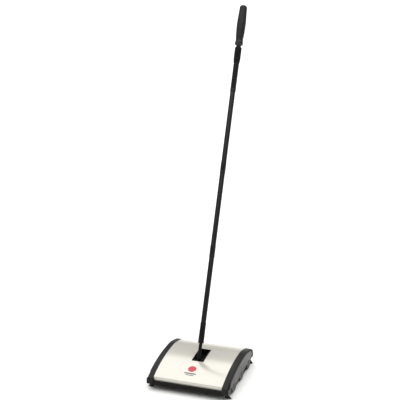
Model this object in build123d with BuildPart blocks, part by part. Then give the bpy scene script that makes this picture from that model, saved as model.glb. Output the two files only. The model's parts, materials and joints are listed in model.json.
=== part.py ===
"""A manual carpet sweeper: a low head on six wheels, two brush rolls that the wheels turn,
two dirt pans that tip open, and a long jointed handle on a pivot in the middle of the cover.

Millimetres, +Z up. The origin is on the floor, under the middle of the whole sweeper.
+X is to the right, and +Y to the back, the way the handle leans.
"""

from build123d import *
import math
import os

# ---------------------------------------------------------------- driving dimensions
WIDTH = 241.0  # over the two side panels
RAIL_WIDTH = 19.65  # each side: rail and panel together
FOLD_Y = -260.5  # the cover's front fold, seen from the origin
REAR = 253.0  # back of the head, from the fold
COVER_SHEET = 1.2
RAIL_RISE = 0.9  # the rails stand this much above the cover
PANEL_THICK = 3.0
WALL = 2.5  # the chassis's side walls

WHEEL_RADIUS = 20.0
WHEEL_YS = {"front": 55.0, "middle": 130.0, "rear": 205.0}
WHEEL_IN, WHEEL_OUT = 106.0, 116.5  # |x| of the tyre's two faces
TYRE_THICK = 3.0
AXLE_RADIUS = 2.5
BRUSH_YS = {"front": 92.5, "rear": 167.5}
BRUSH_Z = 22.3
BRISTLE_RADIUS = 22.0
CORE_RADIUS = 9.0
JOURNAL_RADIUS = 3.5
RUNNING_GAP = 0.05  # radial clearance of a shaft in its hole
DRIVE_GAP = 0.3  # between each drum and the tyres beside it
BRISTLE_HALF = 94.0

HINGE_Y, HINGE_Z = 13.0, 12.0  # the front pan's rod, from the fold
PAN_MIRROR_Y = 127.5  # the rear pan is the front one mirrored here
ROD_RADIUS = 1.5
PAN_HALF = 95.5
PAN_WALL = 2.0

PIVOT_Y, PIVOT_Z = 94.4, 57.0
PIN_RADIUS = 2.5
LEAN = 23.6  # the handle at rest, back from upright, in degrees
NECK = 53.5  # pivot to the ferrule's lower end, along the handle
SECTION = 248.4  # one handle tube, as it shows
TOP_SECTION = 267.1  # last joint to the end of the grip
TUBE_RADIUS = 7.6
TUBE_WALL = 0.8

# ---------------------------------------------------------------- worked-out dimensions
CAP_OUT = WIDTH / 2
COVER_HALF = CAP_OUT - RAIL_WIDTH
PANEL_IN = CAP_OUT - PANEL_THICK
WALL_IN, WALL_OUT = COVER_HALF - 0.35 - WALL, COVER_HALF - 0.35
BRUSH_PITCH = WHEEL_YS["middle"] - BRUSH_YS["front"]
DRUM_RADIUS = math.hypot(BRUSH_PITCH, BRUSH_Z - WHEEL_RADIUS) - WHEEL_RADIUS - DRIVE_GAP
SIDES = {"left": -1, "right": 1}

# local x runs back from the fold and local y up, seen from the right
SIDE = Plane(origin=(0, FOLD_Y, 0), x_dir=(0, 1, 0), z_dir=(1, 0, 0))
# local x is +X and local y runs back from the fold
FLOOR = Plane(origin=(0, FOLD_Y, 0), x_dir=(1, 0, 0), z_dir=(0, 0, 1))
# local z runs up the handle from its pivot
HANDLE = Plane(
    origin=(0, FOLD_Y + PIVOT_Y, PIVOT_Z),
    x_dir=(1, 0, 0),
    z_dir=(0, math.sin(math.radians(LEAN)), math.cos(math.radians(LEAN))),
)

os.makedirs("parts", exist_ok=True)


def save(part, name):
    """Label a finished piece and write its file."""
    part.label = name
    export_step(part, f"parts/{name}.step")


def crown(y):
    """Height of the cover at a distance y back from its fold."""
    peak_y, peak_z = 164.5, 67.0
    if y <= peak_y:
        return peak_z - 27.1 * ((peak_y - y) / peak_y) ** 2.5
    return peak_z - 25.2 * ((y - peak_y) / 100.0) ** 1.45


def outline(front, inset, low_front, low_rear, corner=0.0):
    """Side view of the head, closed along its foot: crowned on top and rounded at the back."""
    rear = REAR - inset
    top = [(y, crown(y) - inset) for y in (front, 30.0, 60.0, 110.0, 164.5, 200.0, 232.0)]
    top += [(REAR - 6.0 - 0.7 * inset, 43.0 - 0.7 * inset), (rear, 30.0)]
    with BuildSketch(SIDE) as side:
        with BuildLine():
            Spline(*top, tangents=[(1, 0.42), (0, -1)])
            Polyline((rear, 30.0), (rear, low_rear), (front, low_front), top[0])
        make_face()
        if corner:
            fillet(side.vertices().sort_by(Axis.Y)[:2].sort_by(Axis.Z)[-1:], corner)
    return side.sketch


def slab(sketch, low, high, mode=Mode.ADD):
    """Stretch a side-view sketch from x = low to x = high."""
    faces = [face.moved(Location((low, 0, 0))) for face in sketch.faces()]
    extrude(faces, amount=high - low, dir=(1, 0, 0), mode=mode)


def drum(plane, low, high, radius, mode=Mode.ADD):
    """A round bar along a plane's normal, from low to high."""
    with BuildSketch(plane.offset(low)) as disc:
        Circle(radius)
    extrude(disc.sketch, amount=high - low, mode=mode)


def across(y, z):
    """A plane whose normal is +X, through a point y back from the fold and z up."""
    return Plane(origin=(0, FOLD_Y + y, z), x_dir=(0, 1, 0), z_dir=(1, 0, 0))


def block(x, y, z, mode=Mode.ADD):
    """A box given by its low and high x, y back from the fold, and z."""
    with BuildSketch(FLOOR.offset(z[0])) as foot:
        with Locations(((x[0] + x[1]) / 2, (y[0] + y[1]) / 2)):
            Rectangle(x[1] - x[0], y[1] - y[0])
    extrude(foot.sketch, amount=z[1] - z[0], mode=mode)


# ---------------------------------------------------------------- cover
SOCKET_FRONT, SOCKET_REAR, SOCKET_HALF = 85.7, 160.2, 17.8
SOCKET_RIM = 1.3  # the socket's rim laps the cover by this much
LIP_Z = 28.7
COVER_REAR_Z = 24.0

with BuildPart() as cover:
    slab(outline(0.0, 0.0, LIP_Z, COVER_REAR_Z), -COVER_HALF, COVER_HALF)
    inner = outline(COVER_SHEET, COVER_SHEET, LIP_Z - 10.0, COVER_REAR_Z - 10.0)
    slab(inner, -COVER_HALF - 1, COVER_HALF + 1, mode=Mode.SUBTRACT)
    opening = SOCKET_HALF - SOCKET_RIM
    length = (SOCKET_FRONT + SOCKET_RIM, SOCKET_REAR - SOCKET_RIM)
    block((-opening, opening), length, (40.0, 80.0), mode=Mode.SUBTRACT)
save(cover.part, "cover")

# ---------------------------------------------------------------- chassis
HOOD_RADIUS, HOOD_THICK = 24.4, 2.0
FRONT_FOOT_Z = 16.0  # foot of the front beam and of the bumper on it
TRAY_FLOOR = 47.0
LUG_IN, LUG_OUT = 17.2, 21.0
BUSH_RADIUS = 5.5
SCREW_SPOTS = ((9.0, 32.0), (239.0, 31.0))  # y back from the fold, z
SCREW_RADIUS = 1.5


def hood_sketch(y, start, size):
    """Part of a ring round a brush roll."""
    with BuildSketch(across(y, BRUSH_Z)) as hood:
        Circle(HOOD_RADIUS + HOOD_THICK)
        Circle(HOOD_RADIUS, mode=Mode.SUBTRACT)
        with BuildLine():
            reach = 60.0
            a, b = math.radians(start), math.radians(start + size)
            Polyline(
                (0, 0),
                (reach * math.cos(a), reach * math.sin(a)),
                (reach * math.cos((a + b) / 2), reach * math.sin((a + b) / 2)),
                (reach * math.cos(b), reach * math.sin(b)),
                close=True,
            )
        make_face(mode=Mode.INTERSECT)
    return hood.sketch


with BuildPart() as chassis:
    for side in SIDES.values():
        wall_faces = (WALL_IN, WALL_OUT) if side > 0 else (-WALL_OUT, -WALL_IN)
        slab(outline(COVER_SHEET, COVER_SHEET, 8.0, 8.0), *wall_faces)
    for y, start in ((BRUSH_YS["front"], 10.0), (BRUSH_YS["rear"], 30.0)):
        slab(hood_sketch(y, start, 140.0), -WALL_IN, WALL_IN)
    block((-WALL_IN, WALL_IN), (COVER_SHEET, 4.4), (FRONT_FOOT_Z, 38.0))
    block((-WALL_IN, WALL_IN), (248.6, REAR - COVER_SHEET), (13.0, 29.0))
    block((-WALL_IN, WALL_IN), (128.8, 131.2), (30.0, 64.0))
    block((-17.2, 17.2), (85.0, 161.0), (44.9, 80.0), mode=Mode.SUBTRACT)
    block((-CAP_OUT, CAP_OUT), (0.0, 7.0), (0.0, FRONT_FOOT_Z), mode=Mode.SUBTRACT)
    for side in SIDES.values():
        lug = sorted((side * LUG_IN, side * LUG_OUT))
        block(lug, (86.5, 102.5), (42.0, PIVOT_Z + 4.2))
    for y in BRUSH_YS.values():
        drum(across(y, BRUSH_Z), -WALL_IN, WALL_IN, BRISTLE_RADIUS + 1.5, mode=Mode.SUBTRACT)
    for side in SIDES.values():
        for y in WHEEL_YS.values():
            boss = sorted((side * (WALL_OUT - 1), side * (WHEEL_IN - 0.4)))
            drum(across(y, WHEEL_RADIUS), *boss, 6.0)
    for y in WHEEL_YS.values():
        drum(across(y, WHEEL_RADIUS), -CAP_OUT, CAP_OUT, AXLE_RADIUS, mode=Mode.SUBTRACT)
    for y in BRUSH_YS.values():
        drum(across(y, BRUSH_Z), -CAP_OUT, CAP_OUT, BUSH_RADIUS, mode=Mode.SUBTRACT)
    for y in (HINGE_Y, 2 * PAN_MIRROR_Y - HINGE_Y):
        drum(across(y, HINGE_Z), -CAP_OUT, CAP_OUT, ROD_RADIUS, mode=Mode.SUBTRACT)
    for y, z in SCREW_SPOTS:
        drum(across(y, z), -CAP_OUT, CAP_OUT, SCREW_RADIUS + 0.2, mode=Mode.SUBTRACT)
    drum(across(PIVOT_Y, PIVOT_Z), -LUG_OUT - 1, LUG_OUT + 1, PIN_RADIUS, mode=Mode.SUBTRACT)
save(chassis.part, "chassis")

# ---------------------------------------------------------------- rails and side panels
RAIL_FRONT = -8.0
RAIL_SKIN = 2.5
FRONT_WEB_Z, REAR_WEB_Z = 19.5, 21.0
PLUG_RADIUS = 5.0
TUFT_X = 110.5
TUFT_YS = {"front": (13.0, FRONT_WEB_Z), "rear": (242.0, REAR_WEB_Z)}
PANEL_DROP = 4.0  # the panel's top edge, below the rail's
PANEL_FRONT, PANEL_REAR = 13.0, 240.0
LOBE_HALF, LOBE_Z = 18.0, 5.0


def panel_foot(y):
    """Height of the side panel's lower edge between its lobes."""
    return 12.5 + 0.055 * y


def rail(side):
    """The black arch beside the cover, with the webs that carry the corner brushes."""
    with BuildPart() as piece:
        shell = outline(RAIL_FRONT, -RAIL_RISE, FRONT_WEB_Z, REAR_WEB_Z + 0.5, corner=5.0)
        slab(shell, COVER_HALF, PANEL_IN)
        edges = piece.edges().filter_by(lambda e: e.center().X > PANEL_IN - 0.01)
        fillet(edges.filter_by(GeomType.BSPLINE), 2.0)
        hollow = outline(RAIL_FRONT + RAIL_SKIN, RAIL_SKIN, -10.0, -10.0, corner=3.0)
        slab(hollow, COVER_HALF - 1, PANEL_IN - RAIL_SKIN, mode=Mode.SUBTRACT)
        low = outline(PANEL_FRONT, 12.0, -10.0, -10.0)
        slab(low, COVER_HALF - 1, PANEL_IN + 1, mode=Mode.SUBTRACT)
        block((PANEL_IN - 1, CAP_OUT), (RAIL_FRONT + 0.4, PANEL_FRONT - 0.4), (FRONT_WEB_Z, 35.0))
        block((PANEL_IN - 1, CAP_OUT), (PANEL_REAR + 0.4, REAR - 1.0), (REAR_WEB_Z + 0.5, 31.0))
        for (y, web_z), reach in zip(TUFT_YS.values(), ((-6.0, 21.0), (231.0, 252.0))):
            block((WALL_OUT, PANEL_IN - 1), reach, (web_z, web_z + 3.0))
        for (y, z), (_, web_z) in zip(SCREW_SPOTS, TUFT_YS.values()):
            block((WALL_OUT, WALL_OUT + 12.0), (y - 1.2, y + 1.2), (web_z + 2.5, z))
            drum(across(y, z), WALL_OUT, WALL_OUT + 12.0, 4.0)
            drum(across(y, z), WALL_OUT, WALL_OUT + 11.0, SCREW_RADIUS, mode=Mode.SUBTRACT)
        for y, web_z in TUFT_YS.values():
            drum(Plane(origin=(TUFT_X, FOLD_Y + y, web_z)), -1, 4, PLUG_RADIUS, mode=Mode.SUBTRACT)
    return piece.part if side > 0 else mirror(piece.part, about=Plane.YZ, mode=Mode.PRIVATE)


def side_panel(side):
    """The grey plate that covers the wheels, with a lobe over each."""
    top = [(y, crown(y) - PANEL_DROP) for y in (24.0, 60.0, 110.0, 164.5, 200.0, 228.0)]
    with BuildPart() as piece:
        with BuildSketch(SIDE.offset(PANEL_IN)):
            with BuildLine():
                Line((PANEL_FRONT, panel_foot(PANEL_FRONT)), (PANEL_FRONT + 1.0, 34.0))
                Line((PANEL_FRONT + 1.0, 34.0), top[0])
                Spline(*top)
                Line(top[-1], (PANEL_REAR, 36.0))
                Line((PANEL_REAR, 36.0), (PANEL_REAR, panel_foot(PANEL_REAR)))
                start = (PANEL_REAR, panel_foot(PANEL_REAR))
                for y in sorted(WHEEL_YS.values(), reverse=True):
                    near = (y + LOBE_HALF, panel_foot(y + LOBE_HALF))
                    far = (y - LOBE_HALF, panel_foot(y - LOBE_HALF))
                    Line(start, near)
                    ThreePointArc(near, (y, LOBE_Z), far)
                    start = far
                Line(start, (PANEL_FRONT, panel_foot(PANEL_FRONT)))
            make_face()
        extrude(amount=PANEL_THICK)
        outer = piece.faces().sort_by(Axis.X)[-1]
        chamfer(outer.outer_wire().edges(), 1.0)
    return piece.part if side > 0 else mirror(piece.part, about=Plane.YZ, mode=Mode.PRIVATE)


for name, side in SIDES.items():
    save(rail(side), f"{name}_rail")
    save(side_panel(side), f"{name}_side_panel")

# ---------------------------------------------------------------- bumpers
BUMPER_HALF = WALL_OUT - 0.1
REAR_BUMPER_LOW = 12.5
with BuildPart() as front_bumper:
    with BuildSketch(SIDE) as bumper_side:
        with BuildLine():
            inner = COVER_SHEET
            low, top = FRONT_FOOT_Z, LIP_Z - 0.2
            Polyline((-5.5, top), (inner, top), (inner, low), (-5.5, low))
            ThreePointArc((-5.5, low), (-7.5, (low + top) / 2), (-5.5, top))
        make_face()
    slab(bumper_side.sketch, -BUMPER_HALF, BUMPER_HALF)
save(front_bumper.part, "front_bumper")

with BuildPart() as rear_bumper:
    with BuildSketch(SIDE) as bumper_side:
        with BuildLine():
            inner, outer = REAR - COVER_SHEET, REAR + 1.0
            low, top = REAR_BUMPER_LOW, COVER_REAR_Z - 0.2
            Polyline((outer, top), (inner, top), (inner, low), (outer, low))
            ThreePointArc((outer, low), (outer + 1.4, (low + top) / 2), (outer, top))
        make_face()
    slab(bumper_side.sketch, -BUMPER_HALF, BUMPER_HALF)
save(rear_bumper.part, "rear_bumper")

# ---------------------------------------------------------------- handle socket and its pin
with BuildPart() as handle_socket:
    slab(outline(0.0, -0.7, 20.0, 20.0), -SOCKET_HALF, SOCKET_HALF)
    slab(outline(0.0, 0.0, 0.0, 0.0), -SOCKET_HALF - 1, SOCKET_HALF + 1, mode=Mode.SUBTRACT)
    block((-30.0, 30.0), (0.0, SOCKET_FRONT), (0.0, 90.0), mode=Mode.SUBTRACT)
    block((-30.0, 30.0), (SOCKET_REAR, 270.0), (0.0, 90.0), mode=Mode.SUBTRACT)
    wall = SOCKET_HALF - SOCKET_RIM - 0.2
    span = (SOCKET_FRONT + SOCKET_RIM + 0.2, SOCKET_REAR - SOCKET_RIM - 0.2)
    block((-wall, wall), span, (TRAY_FLOOR - 1.8, crown(span[0]) + 0.3))
    block((-14.6, 14.6), (span[0] + 1.1, span[1] - 1.8), (TRAY_FLOOR, 90.0), mode=Mode.SUBTRACT)
    drum(across(PIVOT_Y, PIVOT_Z), -SOCKET_HALF, SOCKET_HALF, PIN_RADIUS, mode=Mode.SUBTRACT)
save(handle_socket.part, "handle_socket")

with BuildPart() as pivot_pin:
    drum(across(PIVOT_Y, PIVOT_Z), -LUG_OUT - 2.2, LUG_OUT + 2.2, PIN_RADIUS)
    for side in SIDES.values():
        groove = sorted((side * (LUG_OUT + 0.2), side * (LUG_OUT + 1.2)))
        drum(across(PIVOT_Y, PIVOT_Z), *groove, PIN_RADIUS + 1, mode=Mode.SUBTRACT)
        drum(across(PIVOT_Y, PIVOT_Z), *groove, PIN_RADIUS - 0.6)
save(pivot_pin.part, "pivot_pin")

with BuildPart() as pin_clips:
    for side in SIDES.values():
        groove = sorted((side * (LUG_OUT + 0.2), side * (LUG_OUT + 1.2)))
        drum(across(PIVOT_Y, PIVOT_Z), *groove, PIN_RADIUS + 1.5)
    drum(across(PIVOT_Y, PIVOT_Z), -LUG_OUT - 2, LUG_OUT + 2, PIN_RADIUS - 0.6, mode=Mode.SUBTRACT)
save(pin_clips.part, "pin_clips")

# ---------------------------------------------------------------- corner brushes
TUFT_FOOT_X = 115.2
TUFT_SPLAY = {"front": 9.6, "rear": 6.8}  # half the width of each corner tuft at the floor
with BuildPart() as corner_brush_plugs:
    for side in SIDES.values():
        for y, web_z in TUFT_YS.values():
            stem = Plane(origin=(side * TUFT_X, FOLD_Y + y, web_z))
            drum(stem, 0.0, 4.0, PLUG_RADIUS)
            drum(stem, -2.0, 0.0, PLUG_RADIUS + 1.0)
save(corner_brush_plugs.part, "corner_brush_plugs")

for end, (tuft_y, web_z) in TUFT_YS.items():
    for name, side in SIDES.items():
        with BuildPart() as tuft:
            with BuildSketch(FLOOR.offset(web_z - 2.0)):
                with Locations((side * TUFT_X, tuft_y)):
                    Circle(PLUG_RADIUS - 0.8)
            with BuildSketch(FLOOR.offset(0.3)):
                with Locations((side * TUFT_FOOT_X, tuft_y + 3.0)):
                    Ellipse(TUFT_SPLAY[end], 5.0)
            loft()
        save(tuft.part, f"{end}_{name}_tuft")

# ---------------------------------------------------------------- wheels and their axles
with BuildPart() as wheel_axles:
    for side in SIDES.values():
        for y in WHEEL_YS.values():
            shank = sorted((side * (WALL_IN + 0.2), side * (WHEEL_OUT + 0.1)))
            head = sorted((side * (WHEEL_OUT + 0.1), side * (PANEL_IN - 0.2)))
            drum(across(y, WHEEL_RADIUS), *shank, AXLE_RADIUS)
            drum(across(y, WHEEL_RADIUS), *head, AXLE_RADIUS + 2.0)
save(wheel_axles.part, "wheel_axles")

for end, wheel_y in WHEEL_YS.items():
    for name, side in SIDES.items():
        rim = WHEEL_RADIUS - TYRE_THICK
        inside, outside = sorted((side * WHEEL_IN, side * WHEEL_OUT))
        with BuildPart() as hub:
            drum(across(wheel_y, WHEEL_RADIUS), inside, outside, rim)
            middle = (inside + outside) / 2
            for low, high in ((inside, middle - 1.5), (middle + 1.5, outside)):
                drum(across(wheel_y, WHEEL_RADIUS), low, high, rim - 2.0, mode=Mode.SUBTRACT)
                drum(across(wheel_y, WHEEL_RADIUS), low, high, 5.0)
            bore = AXLE_RADIUS + RUNNING_GAP
            drum(across(wheel_y, WHEEL_RADIUS), inside, outside, bore, mode=Mode.SUBTRACT)
        save(hub.part, f"{end}_{name}_hub")
        with BuildPart() as tyre:
            drum(across(wheel_y, WHEEL_RADIUS), inside, outside, WHEEL_RADIUS)
            chamfer(tyre.edges().filter_by(GeomType.CIRCLE), 0.8)
            drum(across(wheel_y, WHEEL_RADIUS), inside, outside, rim, mode=Mode.SUBTRACT)
        save(tyre.part, f"{end}_{name}_tyre")

# ---------------------------------------------------------------- brush rolls
with BuildPart() as brush_bushes:
    for side in SIDES.values():
        for y in BRUSH_YS.values():
            sleeve = sorted((side * (WALL_IN - 0.3), side * (WALL_OUT + 0.0)))
            flange = sorted((side * WALL_OUT, side * (WALL_OUT + 1.2)))
            drum(across(y, BRUSH_Z), *sleeve, BUSH_RADIUS)
            drum(across(y, BRUSH_Z), *flange, BUSH_RADIUS + 1.5)
    for y in BRUSH_YS.values():
        bore = JOURNAL_RADIUS + RUNNING_GAP
        drum(across(y, BRUSH_Z), -CAP_OUT, CAP_OUT, bore, mode=Mode.SUBTRACT)
save(brush_bushes.part, "brush_bushes")

for end, brush_y in BRUSH_YS.items():
    axis_plane = across(brush_y, BRUSH_Z)
    with BuildPart() as core:
        drum(axis_plane, -BRISTLE_HALF - 1.5, BRISTLE_HALF + 1.5, CORE_RADIUS)
        drum(axis_plane, -WHEEL_OUT, WHEEL_OUT, JOURNAL_RADIUS)
    save(core.part, f"{end}_brush_core")
    with BuildPart() as bristles:
        drum(axis_plane, -BRISTLE_HALF, BRISTLE_HALF, BRISTLE_RADIUS)
        drum(axis_plane, -CAP_OUT, CAP_OUT, CORE_RADIUS, mode=Mode.SUBTRACT)
    save(bristles.part, f"{end}_brush_bristles")
    with BuildPart() as drums:
        for side in SIDES.values():
            drum(axis_plane, *sorted((side * WHEEL_IN, side * WHEEL_OUT)), DRUM_RADIUS)
        drum(axis_plane, -CAP_OUT, CAP_OUT, JOURNAL_RADIUS, mode=Mode.SUBTRACT)
    save(drums.part, f"{end}_brush_drums")

# ---------------------------------------------------------------- dirt pans, rods and springs
SPRING_IN, SPRING_OUT = 34.0, 44.0
BARREL_RADIUS = 3.5
COIL_RADIUS, WIRE_RADIUS = 2.6, 0.4


def dirt_pan():
    """The front pan: a tray open at the top and back, on a barrel that turns on its rod."""
    with BuildPart() as pan:
        drum(across(HINGE_Y, HINGE_Z), -PAN_HALF, PAN_HALF, BARREL_RADIUS)
        with BuildSketch(SIDE) as floor_side:
            with BuildLine():
                Polyline((13.0, 8.6), (13.0, 10.8), (64.0, 8.2), (66.0, 9.2), (66.0, 6.2), close=True)
            make_face()
        slab(floor_side.sketch, -PAN_HALF, PAN_HALF)
        block((-PAN_HALF, PAN_HALF), (10.0, 10.0 + PAN_WALL), (12.0, 30.0))
        with BuildSketch(SIDE) as cheek_side:
            with BuildLine():
                Polyline((10.0, 12.0), (10.0, 30.0), (28.0, 30.0), (64.0, 13.0), (64.0, 7.0), (13.0, 9.0))
                Line((13.0, 9.0), (10.0, 12.0))
            make_face()
        slab(cheek_side.sketch, -PAN_HALF, -PAN_HALF + PAN_WALL)
        slab(cheek_side.sketch, PAN_HALF - PAN_WALL, PAN_HALF)
        block((-16.0, 16.0), (62.0, 69.0), (6.2, 8.4))
        for side in SIDES.values():
            notch = sorted((side * SPRING_IN, side * SPRING_OUT))
            block(notch, (8.0, 17.2), (8.0, 16.2), mode=Mode.SUBTRACT)
        bore = ROD_RADIUS + RUNNING_GAP
        drum(across(HINGE_Y, HINGE_Z), -CAP_OUT, CAP_OUT, bore, mode=Mode.SUBTRACT)
    return pan.part


def spring_pair():
    """Two small torsion springs round the front pan's rod."""
    with BuildPart() as springs:
        for side in SIDES.values():
            middle = side * (SPRING_IN + SPRING_OUT) / 2
            foot = (middle - 4.0, FOLD_Y + HINGE_Y, HINGE_Z)
            with BuildLine() as turns:
                Helix(pitch=1.0, height=8.0, radius=COIL_RADIUS, center=foot, direction=(1, 0, 0))
            with BuildSketch(Plane(origin=turns.line @ 0, z_dir=turns.line % 0)) as wire:
                Circle(WIRE_RADIUS)
            sweep(wire.sketch, path=turns.line, is_frenet=True)
    return springs.part


MIRROR_PLANE = Plane.XZ.offset(-(FOLD_Y + PAN_MIRROR_Y))
front_pan = dirt_pan()
rear_pan = mirror(dirt_pan(), about=MIRROR_PLANE)
front_springs = spring_pair()
rear_springs = mirror(spring_pair(), about=MIRROR_PLANE)
for end, pan, springs, rod_y in (
    ("front", front_pan, front_springs, HINGE_Y),
    ("rear", rear_pan, rear_springs, 2 * PAN_MIRROR_Y - HINGE_Y),
):
    save(pan, f"{end}_dirt_pan")
    save(springs, f"{end}_pan_springs")
    with BuildPart() as rod:
        drum(across(rod_y, HINGE_Z), -WALL_OUT, WALL_OUT, ROD_RADIUS)
    save(rod.part, f"{end}_pan_rod")

# ---------------------------------------------------------------- end cap screws
with BuildPart() as end_cap_screws:
    for side in SIDES.values():
        for y, z in SCREW_SPOTS:
            spot = across(y, z)
            drum(spot, *sorted((side * (WALL_IN - 1.6), side * WALL_IN)), 2.9)
            drum(spot, *sorted((side * WALL_IN, side * (WALL_OUT + 9.0))), SCREW_RADIUS - 0.02)
            slot = sorted((side * (WALL_IN - 2.0), side * (WALL_IN - 0.8)))
            block(slot, (y - 2.2, y + 2.2), (z - 0.4, z + 0.4), mode=Mode.SUBTRACT)
save(end_cap_screws.part, "end_cap_screws")

# ---------------------------------------------------------------- handle
UP_THE_HANDLE = Plane(origin=HANDLE.origin, x_dir=(1, 0, 0), z_dir=-HANDLE.y_dir)


def turned(*profile):
    """A part turned round the handle's axis, from (radius, height above the pivot) corners."""
    with BuildSketch(UP_THE_HANDLE) as half:
        with BuildLine():
            Polyline(*profile, close=True)
        make_face()
    revolve(half.sketch, axis=Axis(HANDLE.origin, HANDLE.z_dir))


def tube(low, high, bottom_radius, wall=TUBE_WALL, spigot=True):
    """One handle tube: a wider socket at its foot and a narrower spigot at its top."""
    inner = TUBE_RADIUS - TUBE_WALL
    fit = 7.25
    profile = [(bottom_radius - wall, low), (bottom_radius, low)]
    if bottom_radius != TUBE_RADIUS:
        profile += [(bottom_radius, low + 34.0), (TUBE_RADIUS, low + 38.0)]
    profile += [(TUBE_RADIUS, high - 0.6), (fit, high), (fit, high + 28.0)]
    profile += [(fit - TUBE_WALL, high + 28.0), (fit - TUBE_WALL, high), (inner, high - 0.6)]
    if bottom_radius != TUBE_RADIUS:
        profile += [(inner, low + 38.0), (bottom_radius - wall, low + 34.0)]
    with BuildPart() as piece:
        turned(*profile)
    return piece.part


with BuildPart() as stem:
    turned((0, 0), (5.0, 4.0), (6.5, 8.0), (4.75, 38.0), (4.75, NECK + 2.2), (6.75, NECK + 2.4),
           (6.75, NECK + 40.0), (0, NECK + 40.0))
    drum(across(PIVOT_Y, PIVOT_Z), -13.0, 13.0, 5.7)
    bore = PIN_RADIUS + RUNNING_GAP
    drum(across(PIVOT_Y, PIVOT_Z), -15.0, 15.0, bore, mode=Mode.SUBTRACT)
save(stem.part, "stem")

with BuildPart() as ferrule:
    turned((4.9, NECK), (8.4, NECK), (8.5, NECK + 20.0), (8.0, NECK + 58.0), (7.6, NECK + 60.0),
           (7.6, NECK + 2.2), (4.9, NECK + 2.2))
save(ferrule.part, "ferrule")

JOINTS = [NECK + count * SECTION for count in (1, 2, 3)]
save(tube(NECK + 2.2, JOINTS[0], TUBE_RADIUS), "lower_tube")
save(tube(JOINTS[0], JOINTS[1], 8.15), "lower_middle_tube")
save(tube(JOINTS[1], JOINTS[2], 8.15), "upper_middle_tube")

GRIP_FOOT = JOINTS[2] + 135.4
with BuildPart() as upper_tube:
    turned((7.35, JOINTS[2]), (8.4, JOINTS[2]), (8.4, GRIP_FOOT - 6.0), (7.35, GRIP_FOOT - 6.0))
save(upper_tube.part, "upper_tube")

with BuildPart() as grip_sleeve:
    low = JOINTS[2] + 88.2
    turned((8.4, low), (9.2, low), (9.4, low + 6.0), (10.2, low + 9.0), (10.3, GRIP_FOOT - 3.0),
           (9.6, GRIP_FOOT), (7.35, GRIP_FOOT), (7.35, GRIP_FOOT - 6.0), (8.4, GRIP_FOOT - 6.0))
save(grip_sleeve.part, "grip_sleeve")

GRIP_TOP = JOINTS[2] + TOP_SECTION
with BuildPart() as grip:
    with BuildSketch(UP_THE_HANDLE) as half:
        with BuildLine():
            Polyline((7.3, GRIP_FOOT + 5.0), (7.3, GRIP_FOOT - 36.0), (5.0, GRIP_FOOT - 36.0),
                     (5.0, GRIP_TOP - 9.0), (11.2, GRIP_TOP - 9.0))
            Spline((11.2, GRIP_TOP - 9.0), (12.6, GRIP_TOP - 36.8), (13.5, GRIP_TOP - 63.0),
                   (12.6, GRIP_TOP - 89.2), (11.0, GRIP_TOP - 109.2))
            Spline((11.0, GRIP_TOP - 109.2), (11.3, GRIP_TOP - 113.4), (12.1, GRIP_TOP - 117.6))
            Polyline((12.1, GRIP_TOP - 117.6), (12.1, GRIP_TOP - 122.8), (7.3, GRIP_FOOT + 5.0))
        make_face()
    revolve(half.sketch, axis=Axis(HANDLE.origin, HANDLE.z_dir))
save(grip.part, "grip")

with BuildPart() as grip_cap:
    turned((0, GRIP_TOP), (5.0, GRIP_TOP - 0.6), (9.0, GRIP_TOP - 3.0), (11.2, GRIP_TOP - 7.0),
           (11.2, GRIP_TOP - 9.0), (4.95, GRIP_TOP - 9.0), (4.95, GRIP_TOP - 20.0), (0, GRIP_TOP - 20.0))
save(grip_cap.part, "grip_cap")
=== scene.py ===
"""Looks for a manual carpet sweeper: a crowned silver cover between black rails, grey side panels
over six wheels, two bristle rolls with their dirt pans, and a long jointed handle.

Lengths are metres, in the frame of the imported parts.
"""

import json
import math
import random

import bmesh
import bpy
from bpy.props import FloatProperty, FloatVectorProperty, IntProperty, PointerProperty
from mathutils import Matrix, Vector


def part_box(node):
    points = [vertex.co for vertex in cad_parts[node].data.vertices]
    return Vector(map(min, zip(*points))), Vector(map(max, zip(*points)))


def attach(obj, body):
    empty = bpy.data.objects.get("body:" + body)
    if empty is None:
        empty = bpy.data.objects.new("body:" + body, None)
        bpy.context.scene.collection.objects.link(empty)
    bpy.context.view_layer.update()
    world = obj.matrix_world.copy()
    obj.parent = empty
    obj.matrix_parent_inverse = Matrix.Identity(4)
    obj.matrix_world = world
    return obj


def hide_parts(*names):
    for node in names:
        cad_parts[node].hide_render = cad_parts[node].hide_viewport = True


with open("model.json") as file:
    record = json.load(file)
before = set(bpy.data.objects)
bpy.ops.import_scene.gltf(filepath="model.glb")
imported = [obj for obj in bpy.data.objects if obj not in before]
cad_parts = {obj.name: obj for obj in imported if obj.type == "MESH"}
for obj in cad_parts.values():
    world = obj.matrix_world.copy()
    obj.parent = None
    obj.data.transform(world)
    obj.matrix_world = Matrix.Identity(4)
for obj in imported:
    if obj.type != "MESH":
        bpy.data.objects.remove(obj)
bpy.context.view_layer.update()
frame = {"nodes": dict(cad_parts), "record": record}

bl_info = {
    "name": "Carpet Sweeper",
    "version": (1, 0, 0),
    "blender": (4, 5, 0),
    "location": "3D View > Sidebar > Sweeper",
    "description": "Builds the visible pieces of a manual carpet sweeper around its packed parts",
    "category": "Add Mesh",
}

MM = 0.001
BODY_OF = {node: body for body, nodes in frame["record"]["behaviour"]["bodies"].items() for node in nodes}
JOINT = {joint["name"]: joint for joint in frame["record"]["behaviour"]["joints"]}
SIDES = {"left": -1, "right": 1}
ENDS = ("front", "middle", "rear")


def middle(node):
    """Centre of a node's box at rest."""
    low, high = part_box(node)
    return (Vector(low) + Vector(high)) / 2


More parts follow.
